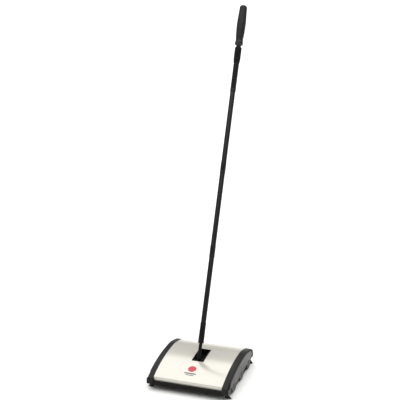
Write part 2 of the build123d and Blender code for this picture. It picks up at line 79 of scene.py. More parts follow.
COVER_LOW, COVER_HIGH = (Vector(corner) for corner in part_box("cover"))
PANEL_LOW, PANEL_HIGH = (Vector(corner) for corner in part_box("right_side_panel"))
RAIL_LOW = Vector(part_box("right_rail")[0])
SOCKET_LOW, SOCKET_HIGH = (Vector(corner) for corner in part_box("handle_socket"))
FOLD = COVER_LOW.y
PIVOT = Vector(JOINT["handle_pivot"]["pos_m"])
HANDLE_AXIS = (middle("upper_middle_tube") - middle("lower_middle_tube")).normalized()
HANDLE_FRAME = Matrix.Translation(PIVOT) @ HANDLE_AXIS.to_track_quat("Z", "Y").to_matrix().to_4x4()
MERGE = 1e-6  # points closer than this are one point

BADGE_X, BADGE_Y = -0.003, FOLD + 0.0355
SLOT_LOW = (FOLD + 23.0 * MM, 15.5 * MM)  # y and z of the opening near each panel's front foot
SLOT_HIGH = (FOLD + 34.0 * MM, 26.5 * MM)


# ------------------------------------------------------------------ settings
def linear(code):
    """An sRGB hex colour as linear red, green, blue and alpha."""
    parts = [int(code[i:i + 2], 16) / 255 for i in (1, 3, 5)]
    return [c / 12.92 if c <= 0.04045 else ((c + 0.055) / 1.055) ** 2.4 for c in parts] + [1.0]


class SweeperSizes(bpy.types.PropertyGroup):
    """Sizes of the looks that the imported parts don't fix."""

    sheet_bend: FloatProperty(name="Sheet bend", description="Outer radius of the cover's front fold",
                              default=2.2 * MM, min=0.0, subtype="DISTANCE", unit="LENGTH")
    rail_round: FloatProperty(name="Rail rounding", description="Radius of the rails' outer top edge",
                              default=2.0 * MM, min=0.0, subtype="DISTANCE", unit="LENGTH")
    panel_groove: FloatProperty(name="Panel groove", description="Gap that shows between rail and panel",
                                default=1.9 * MM, min=0.0, subtype="DISTANCE", unit="LENGTH")
    bristle: FloatProperty(name="Bristle", description="Thickness of one nylon bristle",
                           default=0.55 * MM, min=0.0, subtype="DISTANCE", unit="LENGTH")
    brush_rows: IntProperty(name="Brush rows", description="Twisted rows of tufts round each roll",
                            default=6, min=2)
    corner_bristles: IntProperty(name="Corner bristles", description="Bristles in each corner tuft",
                                 default=110, min=10)
    tread_ribs: IntProperty(name="Tread ribs", description="Cross ribs round each tyre",
                            default=44, min=8)
    grip_flutes: IntProperty(name="Grip flutes", description="Shallow flutes round the grip",
                             default=8, min=3)


class SweeperColours(bpy.types.PropertyGroup):
    """Colours that a user would change."""

    cover: FloatVectorProperty(name="Cover", description="Pearl-silver enamel of the cover",
                               default=linear("#CBC8BF")[:3], size=3, subtype="COLOR", min=0, max=1)
    badge: FloatVectorProperty(name="Badge", description="Ink of the printed disc",
                               default=linear("#B3142B")[:3], size=3, subtype="COLOR", min=0, max=1)


# ------------------------------------------------------------------ materials
NOISE_LOW, NOISE_HIGH = 0.35, 0.65  # where nearly all of a noise pattern's values lie


def add(tree, kind, inputs=None):
    """Add a node, whose inputs are given as values or as sockets to link."""
    made = tree.nodes.new(kind)
    for key, value in (inputs or {}).items():
        if isinstance(value, bpy.types.NodeSocket):
            tree.links.new(value, made.inputs[key])
        else:
            made.inputs[key].default_value = value
    return made


def surface(name, colour, roughness, **sockets):
    """A material with one principled shader, its uniform values set on the shader's own sockets."""
    made = bpy.data.materials.new(name)
    made.use_nodes = True
    tree = made.node_tree
    tree.nodes.clear()
    values = {"Base Color": colour, "Roughness": roughness}
    values.update({key.replace("_", " "): value for key, value in sockets.items()})
    shader = add(tree, "ShaderNodeBsdfPrincipled", values)
    add(tree, "ShaderNodeOutputMaterial", {"Surface": shader.outputs[0]})
    return made, tree, shader


def per_metre(size):
    """Scale of a pattern on Object coordinates whose features are `size` millimetres across."""
    return 1.0 / (size * MM)


def grain(tree, size, detail=2.0, stretch=(1.0, 1.0, 1.0)):
    """Noise with features of `size` millimetres on the piece's own coordinates."""
    place = add(tree, "ShaderNodeTexCoord")
    fitted = add(tree, "ShaderNodeMapping", {"Vector": place.outputs["Object"], "Scale": stretch})
    return add(tree, "ShaderNodeTexNoise",
               {"Vector": fitted.outputs[0], "Scale": per_metre(size), "Detail": detail})


def bump(tree, shader, height, strength, depth):
    """Raise the surface by a pattern, `depth` millimetres deep."""
    made = add(tree, "ShaderNodeBump", {"Height": height, "Strength": strength, "Distance": depth * MM})
    tree.links.new(made.outputs[0], shader.inputs["Normal"])


def vary(tree, shader, socket, pattern, low, high):
    """Spread a shader value between low and high over a pattern."""
    made = add(tree, "ShaderNodeMapRange", {"Value": pattern, "From Min": NOISE_LOW,
                                            "From Max": NOISE_HIGH, "To Min": low, "To Max": high})
    tree.links.new(made.outputs[0], shader.inputs[socket])


def shade(colour, factor):
    """A colour made darker or lighter by a factor."""
    return (*(part * factor for part in colour[:3]), 1.0)


def as_colour(value):
    """A colour given as a hex code or as red, green, blue and alpha."""
    return linear(value) if isinstance(value, str) else value


def tint(tree, shader, pattern, dark, light):
    """Spread the base colour between two colours over a pattern."""
    ramp = add(tree, "ShaderNodeValToRGB", {"Fac": pattern})
    for stop, place, colour in zip(ramp.color_ramp.elements, (NOISE_LOW, NOISE_HIGH), (dark, light)):
        stop.position, stop.color = place, as_colour(colour)
    tree.links.new(ramp.outputs[0], shader.inputs["Base Color"])


def pearl_enamel():
    """Baked pearl-silver enamel on pressed steel: half mirror, half soft sheen, with fine mica."""
    base = (*bpy.context.scene.sweeper_colours.cover, 1.0)
    made, tree, shader = surface("pearl_silver_enamel", base, 0.2, Metallic=0.36)
    # mica flakes are a few hundredths of a millimetre; they are drawn at 1 mm so that they show
    flakes = grain(tree, 1.0, 1.0)
    tint(tree, shader, flakes.outputs[0], shade(base, 0.96), shade(base, 1.03))
    vary(tree, shader, "Roughness", grain(tree, 14.0, 2.0).outputs[0], 0.17, 0.22)
    bump(tree, shader, flakes.outputs[0], 0.03, 0.01)
    return made


def moulded(name, dark, light, roughness, texture, depth, **sockets):
    """Injection-moulded plastic from a spark-eroded tool: a fine even grain and a dull shine."""
    made, tree, shader = surface(name, linear(dark), roughness, **sockets)
    fine = grain(tree, texture, 3.0)
    broad = grain(tree, 24.0, 2.0)
    tint(tree, shader, broad.outputs[0], dark, light)
    vary(tree, shader, "Roughness", broad.outputs[0], roughness - 0.05, roughness + 0.06)
    bump(tree, shader, fine.outputs[0], 0.35, depth)
    return made


def rubber(name, dark, light):
    """Vulcanised rubber: nearly black, dull, with faint bloom in patches."""
    made, tree, shader = surface(name, linear(dark), 0.72, Specular_IOR_Level=0.2)
    bloom = grain(tree, 7.0, 4.0)
    tint(tree, shader, bloom.outputs[0], dark, light)
    vary(tree, shader, "Roughness", bloom.outputs[0], 0.62, 0.82)
    bump(tree, shader, grain(tree, 0.5, 2.0).outputs[0], 0.3, 0.05)
    return made


def nylon_bristle():
    """Crimped nylon filament: thin, smooth and slightly shiny, a little uneven in tone."""
    made, tree, shader = surface("black_nylon_bristle", linear("#0C0C0C"), 0.4,
                                 Specular_IOR_Level=0.3)
    tint(tree, shader, grain(tree, 3.0, 2.0).outputs[0], "#080808", "#171615")
    return made


def tube_enamel():
    """Powder-coated steel tube: semi-gloss black with a slight orange peel."""
    made, tree, shader = surface("black_powder_coat", linear("#0A0A0A"), 0.3,
                                 Specular_IOR_Level=0.35)
    peel = grain(tree, 1.6, 1.0)
    vary(tree, shader, "Roughness", peel.outputs[0], 0.27, 0.36)
    tint(tree, shader, grain(tree, 30.0, 2.0).outputs[0], "#090909", "#0F0F0F")
    bump(tree, shader, peel.outputs[0], 0.1, 0.03)
    return made


def zinc_plate():
    """Bright zinc plate on drawn steel: pale metal with faint lines along X."""
    made, tree, shader = surface("zinc_plated_steel", linear("#BDBDB8"), 0.3, Metallic=1.0)
    lines = grain(tree, 0.4, 2.0, stretch=(0.05, 1.0, 1.0))
    vary(tree, shader, "Roughness", lines.outputs[0], 0.22, 0.4)
    bump(tree, shader, lines.outputs[0], 0.1, 0.01)
    return made


def ink(name, colour):
    """Screen-printed ink: a thin flat film, a little glossier than what it lies on."""
    base = (*colour[:3], 1.0)
    made, tree, shader = surface(name, base, 0.35, Coat_Weight=0.2, Coat_Roughness=0.1)
    tint(tree, shader, grain(tree, 0.9, 2.0).outputs[0], base, shade(base, 1.15))
    return made


def make_materials():
    """Every finish of the sweeper, by the record's slot names, and the two inks."""
    return {
        "cover_silver": pearl_enamel(),
        "rail_black": moulded("black_abs", "#0C0C0C", "#121211", 0.4, 0.8, 0.03, Specular_IOR_Level=0.22),
        "panel_grey": moulded("grey_abs", "#41413E", "#494946", 0.4, 0.8, 0.03, Specular_IOR_Level=0.3),
        "moulded_black": moulded("black_polypropylene", "#090909", "#0E0E0E", 0.5, 1.0, 0.04,
                                 Specular_IOR_Level=0.15),
        "bumper_rubber": rubber("soft_black_strip", "#0F0E0D", "#161412"),
        "bristle_black": nylon_bristle(),
        "zinc_steel": zinc_plate(),
        "bush_nylon": moulded("natural_nylon", "#D8D3C4", "#E2DDCF", 0.4, 1.2, 0.03),
        "tyre_rubber": rubber("black_tyre_rubber", "#131312", "#1C1B19"),
        "core_plastic": moulded("black_core_plastic", "#141414", "#1B1B1A", 0.5, 1.2, 0.04),
        "tube_black": tube_enamel(),
        "grip_black": moulded("black_grip_plastic", "#0A0A0A", "#111110", 0.42, 1.1, 0.06,
                              Specular_IOR_Level=0.4),
        "badge_red": ink("red_ink", bpy.context.scene.sweeper_colours.badge),
        "badge_dark": ink("dark_ink", linear("#3B3437")),
    }


MATERIAL = {}
SLOT_OF = {row["node"]: row["material_slot"] for row in frame["record"]["subparts"]}


# ------------------------------------------------------------------ mesh helpers
SHARP = math.radians(35)


def settings():
    """The sizes a user can change."""
    return bpy.context.scene.sweeper_sizes


def at(y):
    """Y of a distance back from the cover's fold, in millimetres."""
    return FOLD + y * MM


def piece(name, bm, node, replaces=(), finish=None, flat=False):
    """Turn a bmesh into a named piece that rides with a node's body, in that node's finish."""
    bmesh.ops.remove_doubles(bm, verts=bm.verts, dist=MERGE)
    bmesh.ops.recalc_face_normals(bm, faces=bm.faces)
    mesh = bpy.data.meshes.new(name)
    bm.to_mesh(mesh)
    bm.free()
    mesh.polygons.foreach_set("use_smooth", [True] * len(mesh.polygons))
    mesh.set_sharp_from_angle(angle=SHARP)
    made = bpy.data.objects.new(name, mesh)
    bpy.context.scene.collection.objects.link(made)
    mesh.materials.append(MATERIAL[finish or SLOT_OF[node]])
    if flat:
        made.modifiers.new("even_shading", "WEIGHTED_NORMAL").keep_sharp = True
    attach(made, BODY_OF[node])
    if replaces:
        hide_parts(*replaces)


def new_in(grown, kind):
    """The elements of one kind that an operator returned."""
    return [item for item in grown["geom"] if isinstance(item, kind)]


def skin(bm, *tubes):
    """Carry closed rings of points through further rings of as many points, for all tubes at once."""
    verts = [bm.verts.new(point) for tube in tubes for point in tube[0]]
    size = len(tubes[0][0])
    ends = [bm.faces.new(verts[i:i + size]) for i in range(0, len(verts), size)]
    edges = [edge for end in ends for edge in end.edges]
    for level in range(1, len(tubes[0])):
        grown = bmesh.ops.extrude_edge_only(bm, edges=edges)
        fresh = set(new_in(grown, bmesh.types.BMVert))
        verts = [next(edge.other_vert(vert) for edge in vert.link_edges if edge.other_vert(vert) in fresh)
                 for vert in verts]
        edges = [edge for edge in new_in(grown, bmesh.types.BMEdge) if set(edge.verts) <= fresh]
        for vert, point in zip(verts, [point for tube in tubes for point in tube[level]]):
            vert.co = point
    for i in range(0, len(verts), size):
        bm.faces.new(verts[i:i + size])


def sheet_across(bm, path, stops):
    """A surface that follows a side-view path of (y, z), with a row of edges at each x of stops."""
    verts = [bm.verts.new((stops[0], *point)) for point in path]
    edges = [bm.edges.new(pair) for pair in zip(verts, verts[1:])]
    for before, x in zip(stops, stops[1:]):
        grown = bmesh.ops.extrude_edge_only(bm, edges=edges)
        fresh = set(new_in(grown, bmesh.types.BMVert))
        bmesh.ops.translate(bm, verts=list(fresh), vec=(x - before, 0, 0))
        edges = [edge for edge in new_in(grown, bmesh.types.BMEdge) if set(edge.verts) <= fresh]


def slab(bm, outline, low, high):
    """A plate with a side-view outline of (y, z) points, from x = low to x = high; its outer face."""
    face = bm.faces.new([bm.verts.new((low, *point)) for point in outline])
    grown = bmesh.ops.extrude_face_region(bm, geom=[face])
    bmesh.ops.translate(bm, verts=new_in(grown, bmesh.types.BMVert), vec=(high - low, 0, 0))
    return new_in(grown, bmesh.types.BMFace)[0]


def brick(bm, low, high, round_by=0.0, turn=None):
    """A box between two corners, its edges rounded, then turned by a matrix."""
    low, high = Vector(low), Vector(high)
    size = [abs(side) for side in high - low]
    place = Matrix.Translation((low + high) / 2) @ Matrix.Diagonal((*size, 1))
    before = set(bm.verts)
    made = bmesh.ops.create_cube(bm, size=1.0, matrix=place)["verts"]
    if round_by:
        edges = list({edge for vert in made for edge in vert.link_edges})
        bmesh.ops.bevel(bm, geom=edges, offset=round_by, segments=2, profile=0.5,
                        affect="EDGES", material=-1)
    if turn:
        bmesh.ops.transform(bm, matrix=turn, verts=[vert for vert in bm.verts if vert not in before])


def lathe(bm, profile, place, steps=48, shape=None):
    """Spin (radius, height) millimetres round the local Z of a place, and shape each point on the way."""
    before = set(bm.verts)
    verts = [bm.verts.new((radius * MM, 0, height * MM)) for radius, height in profile]
    edges = [bm.edges.new(pair) for pair in zip(verts, verts[1:])]
    if profile[0][0] > 0 and profile[-1][0] > 0:
        edges.append(bm.edges.new((verts[-1], verts[0])))
    bmesh.ops.spin(bm, geom=verts + edges, cent=(0, 0, 0), axis=(0, 0, 1), dvec=(0, 0, 0),
                   angle=math.tau, steps=steps, use_merge=True, use_duplicate=False)
    made = [vert for vert in bm.verts if vert not in before]
    bmesh.ops.remove_doubles(bm, verts=made, dist=MERGE)
    made = [vert for vert in bm.verts if vert not in before]
    if shape:
        for vert in made:
            vert.co = shape(vert.co)
    bmesh.ops.transform(bm, matrix=place, verts=made)


def turned(name, node, profile, place, steps=48, shape=None):
    """A piece that is one lathed shape and stands for its node."""
    bm = bmesh.new()
    lathe(bm, profile, place, steps, shape)
    piece(name, bm, node, [node])


def bristle(root, lean, tip, thick):
    """Rings of one three-sided bristle that leaves its root along `lean` and bends to its tip."""
    rings = []
    turn = (tip - root).normalized()
    side = turn.orthogonal() * thick / 2
    for t in (0.0, 0.35, 0.7, 1.0):
        centre = root * (1 - t) ** 2 + (root + lean) * 2 * t * (1 - t) + tip * t ** 2
        rings.append([centre + Matrix.Rotation(math.tau * k / 3, 3, turn) @ side * (1 - 0.35 * t)
                      for k in range(3)])
    return rings


def cut_across(bm, y):
    """Divide every face that crosses a plane of constant y."""
    bmesh.ops.bisect_plane(bm, geom=bm.verts[:] + bm.edges[:] + bm.faces[:], dist=1e-7,
                           plane_co=(0, y, 0), plane_no=(0, 1, 0))


def ribbed(count, above, sink):
    """A shaper that leaves `count` ribs: between them it scales points beyond a radius by `sink`."""
    def shape(point):
        """Move one point of the turned shape."""
        turn = round(math.atan2(point.y, point.x) / math.tau * count * 4)
        if math.hypot(point.x, point.y) < above or turn % 4 < 2:
            return point
        return Vector((point.x * sink, point.y * sink, point.z))
    return shape


def along_x(y, z, x=0.0):
    """A place whose local Z points along +X, through y and z in metres."""
    return Matrix.Translation((x, y, z)) @ Matrix.Rotation(math.pi / 2, 4, "Y")


def rounded(profile, radius, steps=5):
    """A closed outline of (y, z) points with each corner cut to an arc, as far as its sides allow."""
    points = [Vector(point) for point in profile]
    result = []
    for before, corner, after in zip(points[-1:] + points[:-1], points, points[1:] + points[:1]):
        back, ahead = before - corner, after - corner
        turn = back.angle(ahead, math.pi)
        if turn > math.radians(170):
            result.append(corner)
            continue
        reach = min(radius / math.tan(turn / 2), back.length * 0.45, ahead.length * 0.45)
        start, end = corner + back.normalized() * reach, corner + ahead.normalized() * reach
        for step in range(steps + 1):
            t = step / steps
            result.append(start * (1 - t) ** 2 + corner * 2 * t * (1 - t) + end * t ** 2)
    return result


# ------------------------------------------------------------------ the head's side view
PEAK_Y, PEAK_Z = at(164.5), 67.0 * MM
FRONT_FALL, REAR_FALL = 27.1 * MM, 25.2 * MM
REAR_BEND_Y, REAR_EDGE = at(232.0), Vector((COVER_HIGH.y, 30.0 * MM))
LIP_Z = 28.7 * MM


def crown(y):
    """Height of the cover's outer surface at y."""
    if y <= PEAK_Y:
        return PEAK_Z - FRONT_FALL * ((PEAK_Y - y) / (PEAK_Y - FOLD)) ** 2.5
    return PEAK_Z - REAR_FALL * ((y - PEAK_Y) / (100 * MM)) ** 1.45


def blended(start, leave, arrive, end, steps):
    """Points of a cubic curve, without its start."""
    result = []
    for step in range(1, steps + 1):
        t = step / steps
        result.append(start * (1 - t) ** 3 + leave * 3 * t * (1 - t) ** 2
                      + arrive * 3 * t * t * (1 - t) + end * t ** 3)
    return result


def side_path(front, rise, foot, bend, rear_foot, stops=()):
    """The head's outline `rise` outside the cover: up from a front foot, over and down at the back."""
    count = 42
    ys = [front + (REAR_BEND_Y - front) * i / count for i in range(count + 1)]
    ys = sorted([y for y in ys if all(abs(y - stop) > 1 * MM for stop in stops)] + list(stops))
    top = [Vector((y, crown(max(y, FOLD)) + (rise if y >= FOLD else rise + (y - FOLD) * 0.41)))
           for y in ys]
    ahead = (top[1] - top[0]).normalized()
    corner = top[0]
    reach = bend / math.tan(Vector((0, -1)).angle(ahead) / 2)
    start, end = corner - Vector((0, reach)), corner + ahead * reach
    path = [Vector((front, foot)), start]
    path += blended(start, corner - Vector((0, reach * 0.42)), corner + ahead * reach * 0.42, end, 7)
    path += [point for point in top if point.x > end.x + 1 * MM]
    back = REAR_EDGE + Vector((rise, 0))
    path += blended(path[-1], path[-1] + Vector((9.5, -3.6)) * MM, back + Vector((0, 9 * MM)), back, 9)
    return path + [Vector((back.x, rear_foot))]


def outward(path):
    """The outward unit normal at each point of such a path."""
    result = []
    for i in range(len(path)):
        ahead = (path[min(i + 1, len(path) - 1)] - path[max(i - 1, 0)]).normalized()
        result.append(Vector((-ahead.y, ahead.x)))
    return result


# ------------------------------------------------------------------ operators
class SweeperMaterials(bpy.types.Operator):
    """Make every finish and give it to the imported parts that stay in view"""

    bl_idname = "sweeper.materials"
    bl_label = "Materials"

    def execute(self, context):
        MATERIAL.update(make_materials())
        for node, thing in frame["nodes"].items():
            thing.data.materials.clear()
            thing.data.materials.append(MATERIAL[SLOT_OF[node]])
        return {"FINISHED"}


class SweeperCover(bpy.types.Operator):
    """The pressed cover: a crowned sheet with a bent lip, a rolled back and the socket's opening"""

    bl_idname = "sweeper.cover"
    bl_label = "Cover"

    def execute(self, context):
        rim = 1.3 * MM
        window_x = SOCKET_HIGH.x - rim
        window_y = (SOCKET_LOW.y + rim, SOCKET_HIGH.y - rim)
        path = side_path(FOLD, 0.0, LIP_Z, settings().sheet_bend, COVER_LOW.z, window_y)
        bm = bmesh.new()
        sheet_across(bm, path, (COVER_LOW.x, -window_x, window_x, COVER_HIGH.x))
        inside = [face for face in bm.faces if abs(face.calc_center_median().x) < 1 * MM
                  and window_y[0] < face.calc_center_median().y < window_y[1]]
        bmesh.ops.delete(bm, geom=inside, context="FACES")
        bmesh.ops.recalc_face_normals(bm, faces=bm.faces)
        if sum(face.normal.z for face in bm.faces) < 0:
            bmesh.ops.reverse_faces(bm, faces=bm.faces)
        bmesh.ops.solidify(bm, geom=bm.faces[:], thickness=1.2 * MM)
        piece("cover_sheet", bm, "cover", ["cover"], flat=True)
        return {"FINISHED"}


class SweeperBadge(bpy.types.Operator):
    """The printed mark: a plain disc over two plain bars, in two inks"""

    bl_idname = "sweeper.badge"
    bl_label = "Badge"

    def execute(self, context):
        spot = Vector((BADGE_X, BADGE_Y))
        film = 0.12 * MM
        for name, finish, low, high, radius in (
                ("badge_disc", "badge_red", (-12, 1), (12, 25), None),
                ("badge_bars", "badge_dark", (-17, -7.5), (17, -3.5), 1),
                ("badge_line", "badge_dark", (-12, -13), (12, -10.5), 1)):
            centre, half = (Vector(low) + Vector(high)) / 2, (high[0] - low[0]) / 2
            corners = [(low[0], low[1]), (high[0], low[1]), (high[0], high[1]), (low[0], high[1])]
            shape = rounded(corners, radius, 4) if radius else [
                centre + Vector((math.cos(turn), math.sin(turn))) * half
                for turn in (step * math.tau / 56 for step in range(56))]
            outline = [point * MM + spot for point in shape]
            bm = bmesh.new()
            skin(bm, [[(x, y, lift) for x, y in outline] for lift in (-film, film)])
            for step in range(-7, 14):
                cut_across(bm, BADGE_Y + step * 2 * MM)
            for vert in bm.verts:
                vert.co.z += crown(vert.co.y)
            piece(name, bm, "cover", finish=finish)
        return {"FINISHED"}


class SweeperRails(bpy.types.Operator):
    """The two black arches beside the cover, with their corner blocks and the webs under them"""

    bl_idname = "sweeper.rails"
    bl_label = "Rails"

    def execute(self, context):
        for side_name, side in SIDES.items():
            node = f"{side_name}_rail"
            bm = bmesh.new()
            self.arch(bm, side)
            self.corners(bm, side)
            piece(f"{node}_shell", bm, node, [node], flat=True)
        return {"FINISHED"}

    def arch(self, bm, side):
        """The channel that follows the crown, rounded outside, with an undercut above the panel."""
        bend, groove = settings().rail_round, settings().panel_groove
        inner_x = COVER_HIGH.x
        path = side_path(RAIL_LOW.y, 0.9 * MM, RAIL_LOW.z, 5 * MM, 21.5 * MM)
        rings = []
        for point, normal in zip(path, outward(path)):
            deep = 12 * MM if point.x > at(22.0) else 4.2 * MM
            behind = point.x > PANEL_HIGH.y + 1.5 * MM
            wide = (PANEL_HIGH.x if behind else PANEL_LOW.x) - inner_x
            section = [(0, 2.4 * MM), (0, 0.6 * MM), (0.2 * MM, 0.2 * MM), (0.6 * MM, 0)]
            for step in range(6):
                turn = math.pi / 2 * step / 5
                section.append((wide - bend + bend * math.sin(turn), bend - bend * math.cos(turn)))
            wall = wide - (0.3 * MM if behind else groove)
            section += [(wide, bend + 0.3 * MM), (wall, bend + 0.6 * MM), (wall, deep)]
            section += [(wall - 1.6 * MM, deep), (wall - 1.6 * MM, 2.6 * MM)]
            rings.append([(side * (inner_x + across), *(point - normal * depth))
                          for across, depth in section])
        skin(bm, rings)

    def corners(self, bm, side):
        """The corner block at the front, the webs for the corner brushes and the screw posts."""
        low_x, high_x = COVER_HIGH.x, PANEL_LOW.x
        foot = RAIL_LOW.z
        brick(bm, (side * (high_x - 2.6 * MM), at(-6.4), foot + 0.2 * MM),
              (side * (high_x - 0.2 * MM), at(26), 37 * MM), 0.4 * MM)
        brick(bm, (side * (high_x - 1.0 * MM), RAIL_LOW.y + 0.6 * MM, foot),
              (side * PANEL_HIGH.x, PANEL_LOW.y - 0.5 * MM, 35 * MM), 1.4 * MM)
        brick(bm, (side * (low_x + 0.4 * MM), at(-8.7), foot),
              (side * (PANEL_HIGH.x - 1.2 * MM), at(-4.0), foot + 5.6 * MM), 1.0 * MM)
        for y, web, reach, post in ((9.0, foot / MM, (-6.0, 21.0), 32.0),
                                    (239.0, 21.0, (231.0, 252.0), 31.0)):
            brick(bm, (side * (low_x - 0.3 * MM), at(reach[0]), web * MM),
                  (side * (high_x - 1 * MM), at(reach[1]), (web + 3) * MM), 0.4 * MM)
            brick(bm, (side * (low_x - 0.3 * MM), at(y - 1.2), (web + 2.5) * MM),
                  (side * (low_x + 12 * MM), at(y + 1.2), post * MM))
            place = along_x(at(y), post * MM, side * (low_x + 5.85 * MM))
            lathe(bm, [(1.5, -6.1), (4.0, -6.1), (4.0, 6.1), (1.5, 6.1)], place, 24)


class SweeperPanels(bpy.types.Operator):
    """The grey side panels: a shallow recess, a lobe with a boss over each wheel and an opening"""

    bl_idname = "sweeper.panels"
    bl_label = "Side panels"

    def execute(self, context):
        for side_name, side in SIDES.items():
            node = f"{side_name}_side_panel"
            inner, outer = side * PANEL_LOW.x, side * PANEL_HIGH.x
            bm = bmesh.new()
            face = slab(bm, self.outline(), inner, outer)
            bmesh.ops.remove_doubles(bm, verts=bm.verts, dist=MERGE)
            bmesh.ops.recalc_face_normals(bm, faces=bm.faces)
            bmesh.ops.bevel(bm, geom=list(face.edges), offset=0.8 * MM, segments=3, profile=0.5,
                            affect="EDGES", material=-1)
            face = max((item for item in bm.faces
                        if abs(item.calc_center_median().x - outer) < 0.01 * MM),
                       key=lambda item: item.calc_area())
            # the groove is already in metres, so this ring comes out only some micrometres wide
            bmesh.ops.inset_region(bm, faces=[face], thickness=settings().panel_groove * MM * 0.9,
                                   depth=0, use_even_offset=True)
            bmesh.ops.inset_region(bm, faces=[face], thickness=0.8 * MM, depth=-0.8 * MM,
                                   use_even_offset=True)
            self.upright_cuts(bm)
            self.slot(bm)
            for end in ENDS:
                wheel = middle(f"{end}_{side_name}_tyre")
                place = along_x(wheel.y, wheel.z, outer) @ Matrix.Diagonal((1, 1, side, 1))
                lathe(bm, [(0, -0.9), (9.5, -0.9), (9.5, -0.1), (8.9, 0.3), (7.6, 0.3), (7.1, -0.2),
                           (4.6, -0.2), (4.2, 0.4), (0, 0.55)], place, 40)
            piece(f"{node}_plate", bm, node, [node], flat=True)
        return {"FINISHED"}

    def outline(self):
        """The panel's side view: crowned on top, with three lobes along its foot."""
        drop = 4.0 * MM
        start, end = at(24), at(228)
        front, rear = PANEL_LOW.y, PANEL_HIGH.y
        top = [Vector((start + (end - start) * i / 30,
                       crown(start + (end - start) * i / 30) - drop)) for i in range(31)]
        corners = [Vector((front, self.foot(front))), Vector((front + 1 * MM, 34 * MM))] + top
        corners += [Vector((rear, 36 * MM)), Vector((rear, self.foot(rear)))]
        half, low = 18 * MM, PANEL_LOW.z
        for end_name in reversed(ENDS):
            y = middle(f"{end_name}_right_tyre").y
            near, far = Vector((y + half, self.foot(y + half))), Vector((y - half, self.foot(y - half)))
            sag = (near.y + far.y) / 2 - low
            span = (near - far).length / 2
            radius = (span * span + sag * sag) / (2 * sag)
            centre = Vector((y, low + radius))
            sweep = math.acos(1 - sag / radius)
            corners += [centre + Vector((math.sin(turn), -math.cos(turn))) * radius
                        for turn in (sweep * (1 - step / 7) for step in range(15))]
        return rounded(corners, 4.5 * MM, 4)

    def foot(self, y):
        """Height of the panel's lower edge between its lobes."""
        return 12.5 * MM + 0.055 * (y - FOLD)

    def upright_cuts(self, bm):
        """Divide the plate's broad faces into upright strips, which are simple enough to shade evenly."""
        span, strips = PANEL_HIGH.y - PANEL_LOW.y, 38
        for step in range(1, strips):
            cut_across(bm, PANEL_LOW.y + span * step / strips)

    def slot(self, bm):
        """Cut the opening near the panel's front foot."""
        low, high = SLOT_LOW, SLOT_HIGH

        def between(face):
            """Whether a face lies in the strip of the panel that the slot is cut from."""
            return low[0] < face.calc_center_median().y < high[0]

        for axis, value in ((1, low[0]), (1, high[0]), (2, low[1]), (2, high[1])):
            place, normal = [0, 0, 0], [0, 0, 0]
            place[axis], normal[axis] = value, 1
            faces = [face for face in bm.faces if axis == 1 or between(face)]
            edges = {edge for face in faces for edge in face.edges}
            verts = {vert for face in faces for vert in face.verts}
            bmesh.ops.bisect_plane(bm, geom=[*verts, *edges, *faces], dist=1e-6,
                                   plane_co=place, plane_no=normal)
        inside = [face for face in bm.faces if between(face)
                  and low[1] < face.calc_center_median().z < high[1]]
        edges = [edge for edge in bm.edges if sum(face in inside for face in edge.link_faces) == 1]
        bmesh.ops.delete(bm, geom=inside, context="FACES")
        bmesh.ops.bridge_loops(bm, edges=[edge for edge in edges if edge.is_valid])


class SweeperBumpers(bpy.types.Operator):
    """The soft strips across the front and the back, each with two pressed lines"""

    bl_idname = "sweeper.bumpers"
    bl_label = "Bumpers"

    def execute(self, context):
        for end, side in (("front", -1), ("rear", 1)):
            node = f"{end}_bumper"
            low, high = (Vector(corner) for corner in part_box(node))
            inner, outer = (high.y, low.y) if end == "front" else (low.y, high.y)
            tall, nose = high.z - low.z, 0.6 * MM
            corners = [(inner, low.z), (outer - side * 1.2 * MM, low.z)]
            for share in (0.3, 0.7):
                z = low.z + tall * share
                corners += [(outer, z - nose), (outer - side * nose, z), (outer, z + nose)]
            corners += [(outer - side * 1.2 * MM, high.z), (inner, high.z)]
            bm = bmesh.new()
            outline = rounded(corners, 0.9 * MM, 3)
            skin(bm, [[(x, *point) for point in outline] for x in (low.x, high.x)])
            piece(f"{node}_strip", bm, node, [node], flat=True)
        return {"FINISHED"}


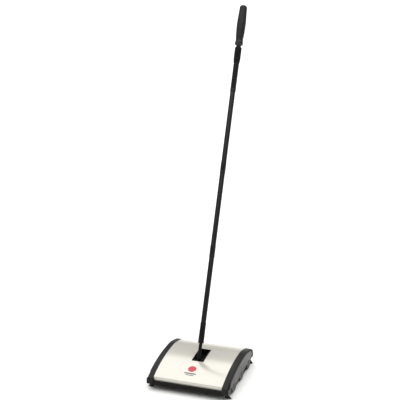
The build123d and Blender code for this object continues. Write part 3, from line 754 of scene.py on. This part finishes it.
class SweeperSocket(bpy.types.Operator):
    """The tray that the handle swings in: a rounded rim on the cover, deep walls and ribs"""

    bl_idname = "sweeper.socket"
    bl_label = "Handle socket"

    def execute(self, context):
        floor, under = 47.0 * MM, SOCKET_LOW.z
        half, front, rear = SOCKET_HIGH.x, SOCKET_LOW.y, SOCKET_HIGH.y
        rings = []
        for inset, height, lift in (
                (1.5, under, None), (1.5, None, 0.02), (0, None, 0.02), (0, None, 0.45),
                (0.4, None, 0.7), (2.7, None, 0.7), (3.2, None, 0.2), (3.2, floor + 1.2 * MM, None),
                (4.4, floor, None)):
            gap = inset * MM
            loop = self.window(half - gap, front + gap, rear - gap, max(2.2 * MM - gap / 3, 0.8 * MM))
            rings.append([(x, y, height if lift is None else crown(y) + lift * MM) for x, y in loop])
        bm = bmesh.new()
        skin(bm, rings)
        for y in (116, 126, 136, 146):
            brick(bm, (-11.5 * MM, at(y), floor - 0.2 * MM),
                  (11.5 * MM, at(y + 1.6), floor + 1.0 * MM), 0.3 * MM)
        piece("socket_tray", bm, "handle_socket", ["handle_socket"], flat=True)
        return {"FINISHED"}

    def window(self, half, front, rear, radius):
        """A rounded rectangle of (x, y) points, with enough of them to follow the crown."""
        points = []
        for sx, sy in ((1, 1), (-1, 1), (-1, -1), (1, -1)):
            centre = Vector((sx * (half - radius), (rear - radius) if sy > 0 else (front + radius)))
            first = {(1, 1): 0, (-1, 1): 90, (-1, -1): 180, (1, -1): 270}[sx, sy]
            for step in range(5):
                turn = math.radians(first + 22.5 * step)
                points.append(centre + Vector((math.cos(turn), math.sin(turn))) * radius)
            if sx < 0 < sy or sx > 0 > sy:
                span = rear - front - 2 * radius
                direction = -sy
                points += [points[-1] + Vector((0, direction * span * k / 12)) for k in range(1, 12)]
        return points


class SweeperWheels(bpy.types.Operator):
    """Six wheels: a spoked hub and a ribbed rubber tyre"""

    bl_idname = "sweeper.wheels"
    bl_label = "Wheels"

    def execute(self, context):
        ribs = settings().tread_ribs
        for end in ENDS:
            for side_name, side in SIDES.items():
                node = f"{end}_{side_name}"
                centre = middle(f"{node}_tyre")
                place = along_x(centre.y, centre.z, centre.x)
                turned(f"{node}_tyre_ring", f"{node}_tyre", [
                    (17, -5.1), (18.6, -5.25), (19.4, -4.9), (20, -4.2), (20, -0.5), (19.5, -0.2),
                    (19.5, 0.2), (20, 0.5), (20, 4.2), (19.4, 4.9), (18.6, 5.25), (17, 5.1)],
                    place, ribs * 4, ribbed(ribs, 19.3 * MM, 0.98))
                bm = bmesh.new()
                lathe(bm, [(15.2, -5.2), (15.6, -5.25), (17, -5.0), (17, 5.0), (15.6, 5.25),
                           (15.2, 5.2)], place)
                lathe(bm, [(2.55, -5.2), (4.7, -5.2), (5, -4.9), (5, 4.9), (4.7, 5.2),
                           (2.55, 5.2)], place, 32)
                lathe(bm, [(4.9, -0.6), (15.3, -0.6), (15.3, 0.6), (4.9, 0.6)], place)
                for spoke in range(6):
                    turn = place @ Matrix.Rotation(math.tau * spoke / 6, 4, "Z")
                    brick(bm, (4.6 * MM, -0.8 * MM, -4.2 * MM), (15.4 * MM, 0.8 * MM, 4.2 * MM),
                          0.3 * MM, turn)
                piece(f"{node}_hub_wheel", bm, f"{node}_hub", [f"{node}_hub"], flat=True)
        return {"FINISHED"}


class SweeperBrushes(bpy.types.Operator):
    """Two rolls with twisted rows of bristle tufts, and the ribbed drums that the tyres drive"""

    bl_idname = "sweeper.brushes"
    bl_label = "Brush rolls"

    def execute(self, context):
        rows, thick = settings().brush_rows, settings().bristle
        chance = random.Random(11)
        for end, hand in (("front", 1), ("rear", -1)):
            node = f"{end}_brush"
            low, high = (Vector(corner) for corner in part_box(f"{node}_bristles"))
            axis = (low + high) / 2
            reach, root = (high.z - low.z) / 2, 8.6 * MM
            tufts = 30
            bristles = []
            for row in range(rows):
                for tuft in range(tufts):
                    share = (tuft + 0.5) / tufts
                    x = low.x + 2.5 * MM + (high.x - low.x - 5 * MM) * share
                    turn = math.tau * (row / rows + hand * share * 0.75)
                    for _ in range(9):
                        angle = turn + chance.uniform(-0.11, 0.11)
                        shift = chance.uniform(-1.3, 1.3) * MM
                        spread = angle + chance.uniform(-0.06, 0.06)
                        length = reach - chance.uniform(0.0, 0.9) * MM
                        foot = Vector((x + shift, axis.y + root * math.cos(angle),
                                       axis.z + root * math.sin(angle)))
                        out = Vector((0, math.cos(angle), math.sin(angle)))
                        tip = Vector((x + shift * 2.1, axis.y + length * math.cos(spread),
                                      axis.z + length * math.sin(spread)))
                        bristles.append(bristle(foot, out * 6 * MM, tip, thick))
            bm = bmesh.new()
            skin(bm, *bristles)
            piece(f"{node}_tufts", bm, f"{node}_bristles", [f"{node}_bristles"])
            bm = bmesh.new()
            drum_low, drum_high = (Vector(corner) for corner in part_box(f"{node}_drums"))
            outer = (drum_high.z - drum_low.z) / 2 / MM
            ribs = 40
            knurl = ribbed(ribs, (outer - 0.6) * MM, 0.975)
            for side in SIDES.values():
                place = along_x(axis.y, axis.z, side * (drum_high.x - 5.25 * MM))
                lathe(bm, [(3.5, -5.25), (outer - 0.8, -5.25), (outer, -4.5), (outer, 4.5),
                           (outer - 0.8, 5.25), (outer - 3.5, 5.25), (outer - 4, 3.2), (5.8, 3.2),
                           (5.4, 5.25), (3.5, 5.25)], place, ribs * 4, knurl)
            piece(f"{node}_drive_drums", bm, f"{node}_drums", [f"{node}_drums"])
        return {"FINISHED"}


class SweeperTufts(bpy.types.Operator):
    """The four corner brushes: bristles that leave their plugs and flare towards the floor"""

    bl_idname = "sweeper.tufts"
    bl_label = "Corner brushes"

    def execute(self, context):
        chance = random.Random(5)
        plug_x, foot_x, foot_y_half = 110.5 * MM, 115.2 * MM, 5.0 * MM
        for end in ("front", "rear"):
            for side_name, side in SIDES.items():
                node = f"{end}_{side_name}_tuft"
                low, high = (Vector(corner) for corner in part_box(node))
                splay = max(abs(low.x), abs(high.x)) - foot_x
                foot_y = high.y - foot_y_half
                bristles = []
                for _ in range(settings().corner_bristles):
                    far = math.sqrt(chance.random())
                    turn = chance.uniform(0, math.tau)
                    across, back = far * math.cos(turn), far * math.sin(turn)
                    root = Vector((side * plug_x + across * 3.7 * MM, foot_y - (3 - back * 3.7) * MM,
                                   high.z - 0.1 * MM))
                    tip = Vector((side * foot_x + across * splay, foot_y + back * foot_y_half,
                                  low.z + chance.uniform(0.1, 1.3) * MM))
                    bristles.append(bristle(root, Vector((0, 0, -9 * MM)), tip, settings().bristle * 1.3))
                bm = bmesh.new()
                skin(bm, *bristles)
                piece(f"{node}_bristles", bm, node, [node])
        return {"FINISHED"}


class SweeperPans(bpy.types.Operator):
    """The two dirt pans: a ribbed floor, rounded walls and a ridged finger tab"""

    bl_idname = "sweeper.pans"
    bl_label = "Dirt pans"

    def execute(self, context):
        for end in ("front", "rear"):
            node = f"{end}_dirt_pan"
            low, high = (Vector(corner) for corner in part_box(node))
            back = 1 if end == "front" else -1
            hinge = Vector(JOINT[f"{end}_pan_hinge"]["pos_m"])

            def spot(y, z):
                """A point (back from the hinge rod's place, height) in millimetres, mirrored for the rear."""
                return (hinge.y + back * (y - 13.0) * MM, z * MM)

            half = high.x
            lip = ((63.6, 8.2), (65.4, 9.4), (66, 8.6), (65.6, 6.4), (64, 6.3))
            bm = bmesh.new()
            floor = rounded([spot(*point) for point in (
                (12, 8.7), (10.2, 12), (10.2, 29.4), (11.8, 29.4), (12, 12.6), (14, 10.8), *lip)],
                0.8 * MM, 2)
            near, far = 34 * MM, 44 * MM
            strips = ((-half, -far), (-near, near), (far, half))
            for x_low, x_high in strips:
                slab(bm, floor, x_low, x_high)
            lifted = rounded([spot(*point) for point in ((17.4, 8.5), (17.4, 10.6), *lip)], 0.8 * MM, 2)
            wall = rounded([spot(*point) for point in ((10.2, 16.4), (10.2, 29.4), (11.8, 29.4), (11.8, 16.4))],
                           0.5 * MM, 2)
            for side in SIDES.values():
                slab(bm, lifted, side * 34 * MM, side * 44 * MM)
                slab(bm, wall, side * 34 * MM, side * 44 * MM)
                cheek = rounded([spot(*point) for point in (
                    (10, 12), (10, 30), (28, 30), (64, 13), (64, 7), (13, 9))], 2.0 * MM, 4)
                slab(bm, cheek, side * (half - 2 * MM), side * half)
                for x in (8, 20, 56, 68, 80):
                    rib = rounded([spot(*point) for point in ((20, 8.4), (20, 7.4), (60, 5.9), (62, 6.6))],
                                  0.3 * MM, 2)
                    slab(bm, rib, side * (x - 0.6) * MM, side * (x + 0.6) * MM)
            tab = sorted((spot(62, 0)[0], spot(69, 0)[0]))
            brick(bm, (-16 * MM, tab[0], 6.2 * MM), (16 * MM, tab[1], 8.4 * MM), 0.7 * MM)
            for x in range(-12, 13, 4):
                ridge = sorted((spot(66.6, 0)[0], spot(68.4, 0)[0]))
                brick(bm, ((x - 0.6) * MM, ridge[0], 5.9 * MM), ((x + 0.6) * MM, ridge[1], 6.6 * MM), 0.2 * MM)
            for x_low, x_high in strips:
                place = along_x(hinge.y, hinge.z, (x_low + x_high) / 2)
                reach = (x_high - x_low) / 2 / MM
                lathe(bm, [(1.55, -reach), (3.2, -reach), (3.5, 0.3 - reach), (3.5, reach - 0.3), (3.2, reach),
                           (1.55, reach)], place, 32)
            piece(f"{end}_pan_tray", bm, node, [node], flat=True)
        return {"FINISHED"}


class SweeperHandle(bpy.types.Operator):
    """The handle: stem, ferrule, four jointed tubes, sleeve, fluted grip and its cap"""

    bl_idname = "sweeper.handle"
    bl_label = "Handle"

    def execute(self, context):
        place = HANDLE_FRAME
        foot, section, top_section = 53.5, 248.4, 267.1  # heights above the pivot, in millimetres
        joints = [foot + section * count for count in (1, 2, 3)]
        top = joints[2] + top_section
        grip_foot = joints[2] + 135.4

        bm = bmesh.new()
        lathe(bm, [(0, 3.5), (4.8, 4.6), (6.2, 7), (6.5, 10), (6.2, 16), (5.3, 26), (4.8, 36), (4.75, foot + 2.3),
                   (6.6, foot + 2.5), (6.75, foot + 3.2), (6.75, foot + 40), (0, foot + 40)], place)
        barrel = place @ Matrix.Rotation(math.pi / 2, 4, "Y")
        lathe(bm, [(2.55, -13), (5.2, -13), (5.7, -12.5), (5.7, -8.4), (5.3, -8.1), (5.3, 8.1), (5.7, 8.4),
                   (5.7, 12.5), (5.2, 13), (2.55, 13)], barrel)
        piece("stem_casting", bm, "stem", ["stem"])

        collar = [(4.9, 0), (8.0, 0), (8.4, 0.5), (8.5, 4), (8.1, 5), (8.1, 6), (8.5, 7), (8.5, 20),
                  (8.25, 40), (8.1, 52), (8.3, 53), (8.3, 57), (7.9, 59.4), (7.6, 60), (7.6, 2.2), (4.9, 2.2)]
        turned("ferrule_collar", "ferrule", [(radius, foot + up) for radius, up in collar], place)

        for node, low, high, wide in (("lower_tube", foot + 2.2, joints[0], 7.6),
                                      ("lower_middle_tube", joints[0], joints[1], 8.15),
                                      ("upper_middle_tube", joints[1], joints[2], 8.15)):
            wall = 0.8
            profile = [(wide - wall, low), (wide - 0.25, low), (wide, low + 0.3)]
            if wide > 7.6:
                profile += [(wide + 0.12, low + 2.2), (wide, low + 4.2), (wide, low + 8), (wide - 0.25, low + 8.8),
                            (wide, low + 9.6), (wide, low + 33), (7.85, low + 36), (7.6, low + 39)]
            profile += [(7.6, high - 1.0), (7.5, high - 0.4), (7.25, high), (7.25, high + 28),
                        (6.45, high + 28), (6.45, high), (6.8, high - 0.8)]
            if wide > 7.6:
                profile += [(6.8, low + 39), (7.05, low + 36), (wide - wall, low + 33)]
            turned(f"{node}_pipe", node, profile, place)

        low = joints[2]
        turned("upper_tube_pipe", "upper_tube", [
            (7.35, low), (8.1, low), (8.4, low + 0.4), (8.5, low + 2.2), (8.4, low + 4.2),
            (8.4, low + 8), (8.15, low + 8.8), (8.4, low + 9.6), (8.4, grip_foot - 6),
            (7.35, grip_foot - 6)], place)

        low = joints[2] + 88.2
        turned("grip_sleeve_cuff", "grip_sleeve", [
            (8.4, low), (9.0, low), (9.3, low + 0.5), (9.4, low + 6), (9.9, low + 7.6), (10.2, low + 9),
            (10.3, low + 14), (9.9, low + 14.8), (10.3, low + 15.6), (10.3, grip_foot - 3.6),
            (10.0, grip_foot - 1), (9.4, grip_foot), (7.35, grip_foot), (7.35, grip_foot - 6),
            (8.4, grip_foot - 6)], place)

        flutes = settings().grip_flutes
        body_low, body_high = (top - 106) * MM, (top - 14) * MM

        def flute(point):
            """Sink shallow flutes along the swelling body of the grip, fading at both ends."""
            radius = math.hypot(point.x, point.y)
            if radius < 10.2 * MM or not body_low < point.z < body_high:
                return point
            share = (point.z - body_low) / (body_high - body_low)
            depth = 0.055 * math.sin(math.pi * share) ** 0.5
            wave = max(0.0, math.cos(flutes * math.atan2(point.y, point.x))) ** 1.5
            return Vector((point.x * (1 - depth * wave), point.y * (1 - depth * wave), point.z))

        body = [(11.2, 9), (11.35, 14), (11.55, 19), (12.1, 28), (12.6, 36.8), (13.05, 46), (13.35, 54),
                (13.5, 63), (13.35, 72), (13.0, 81), (12.6, 89.2), (12.0, 97), (11.4, 103.5), (11.05, 107),
                (11.0, 109.2), (11.05, 111), (11.4, 113.4), (11.95, 115.6), (12.1, 117.6), (12.1, 122.2),
                (11.6, 122.9)]
        turned("grip_body", "grip",
               [(5.0, top - 9)] + [(radius, top - down) for radius, down in body]
               + [(7.9, top - 125.4), (7.3, grip_foot + 5), (7.3, grip_foot - 36), (5.0, grip_foot - 36)],
               place, flutes * 12, flute)

        dome = [(0, 0), (3.2, 0.2), (5.4, 0.9), (7.6, 2.1), (9.4, 3.8), (10.6, 5.8), (11.1, 7.2),
                (11.1, 8.4), (10.8, 9), (4.95, 9), (4.95, 20), (0, 20)]
        turned("grip_cap_dome", "grip_cap", [(radius, top - down) for radius, down in dome], place)
        return {"FINISHED"}


WALL_LIGHT, DIFFUSER_LIGHT = 0.42, 3.3
DIFFUSER_EDGE = 37  # degrees above the horizon, on every side
CAMERA_SPOT = (0.756, FOLD - 2.1365, 1.219)
CAMERA_YAW, CAMERA_PITCH = math.radians(18.61), math.radians(16.06)
SENSOR_WIDTH, FOCAL_LENGTH = 36.0, 80.95


class SweeperStage(bpy.types.Operator):
    """A pale floor, a pale world, one soft overhead light and the camera"""

    bl_idname = "sweeper.stage"
    bl_label = "Stage"

    def execute(self, context):
        scene = context.scene
        # matt paper: an even white with hardly any shine
        floor_finish, tree, shader = surface("studio_paper", linear("#F9F9F8"), 0.9, Specular_IOR_Level=0.2)
        vary(tree, shader, "Roughness", grain(tree, 40.0).outputs[0], 0.86, 0.94)
        bm = bmesh.new()
        bmesh.ops.create_grid(bm, x_segments=8, y_segments=8, size=40.0)
        mesh = bpy.data.meshes.new("floor")
        bm.to_mesh(mesh)
        bm.free()
        floor = bpy.data.objects.new("floor", mesh)
        mesh.materials.append(floor_finish)
        scene.collection.objects.link(floor)

        world = bpy.data.worlds.new("studio")
        world.use_nodes = True
        world.node_tree.nodes["Background"].inputs["Color"].default_value = linear("#F2F1EE")
        world.node_tree.nodes["Background"].inputs["Strength"].default_value = WALL_LIGHT
        scene.world = world
        scene.view_settings.view_transform = "Standard"

        # one wide overhead diffuser
        light = bpy.data.lights.new("overhead_diffuser", "SUN")
        light.angle = 2 * math.radians(90 - DIFFUSER_EDGE)
        light.energy = DIFFUSER_LIGHT
        lamp = bpy.data.objects.new("overhead_diffuser", light)
        scene.collection.objects.link(lamp)

        lens = bpy.data.cameras.new("camera")
        lens.sensor_width, lens.lens = SENSOR_WIDTH, FOCAL_LENGTH
        lens.clip_end = 100.0
        camera = bpy.data.objects.new("camera", lens)
        camera.location = CAMERA_SPOT
        yaw, pitch = CAMERA_YAW, CAMERA_PITCH
        ahead = Vector((-math.sin(yaw) * math.cos(pitch), math.cos(yaw) * math.cos(pitch), -math.sin(pitch)))
        camera.rotation_euler = ahead.to_track_quat("-Z", "Y").to_euler()
        scene.collection.objects.link(camera)
        scene.camera = camera
        return {"FINISHED"}


OPERATORS = (SweeperMaterials, SweeperCover, SweeperBadge, SweeperRails, SweeperPanels, SweeperBumpers,
             SweeperSocket, SweeperWheels, SweeperBrushes, SweeperTufts, SweeperPans, SweeperHandle,
             SweeperStage)


class SweeperSidebar(bpy.types.Panel):
    """Lists the sweeper's settings and the steps that build it"""

    bl_idname = "VIEW3D_PT_sweeper"
    bl_label = "Carpet Sweeper"
    bl_space_type = "VIEW_3D"
    bl_region_type = "UI"
    bl_category = "Sweeper"

    def draw(self, context):
        for group in (context.scene.sweeper_sizes, context.scene.sweeper_colours):
            for name in group.__annotations__:
                self.layout.prop(group, name)
        for step in OPERATORS:
            self.layout.operator(step.bl_idname)


CLASSES = (SweeperSizes, SweeperColours, *OPERATORS, SweeperSidebar)


def register():
    """Add the settings, the operators and the panel to Blender."""
    for item in CLASSES:
        bpy.utils.register_class(item)
    bpy.types.Scene.sweeper_sizes = PointerProperty(type=SweeperSizes)
    bpy.types.Scene.sweeper_colours = PointerProperty(type=SweeperColours)


def unregister():
    """Take them out again."""
    del bpy.types.Scene.sweeper_sizes
    del bpy.types.Scene.sweeper_colours
    for item in reversed(CLASSES):
        bpy.utils.unregister_class(item)


def main():
    """Build everything in order."""
    register()
    for step in OPERATORS:
        group, name = step.bl_idname.split(".")
        getattr(getattr(bpy.ops, group), name)()


if __name__ == "__main__":
    main()
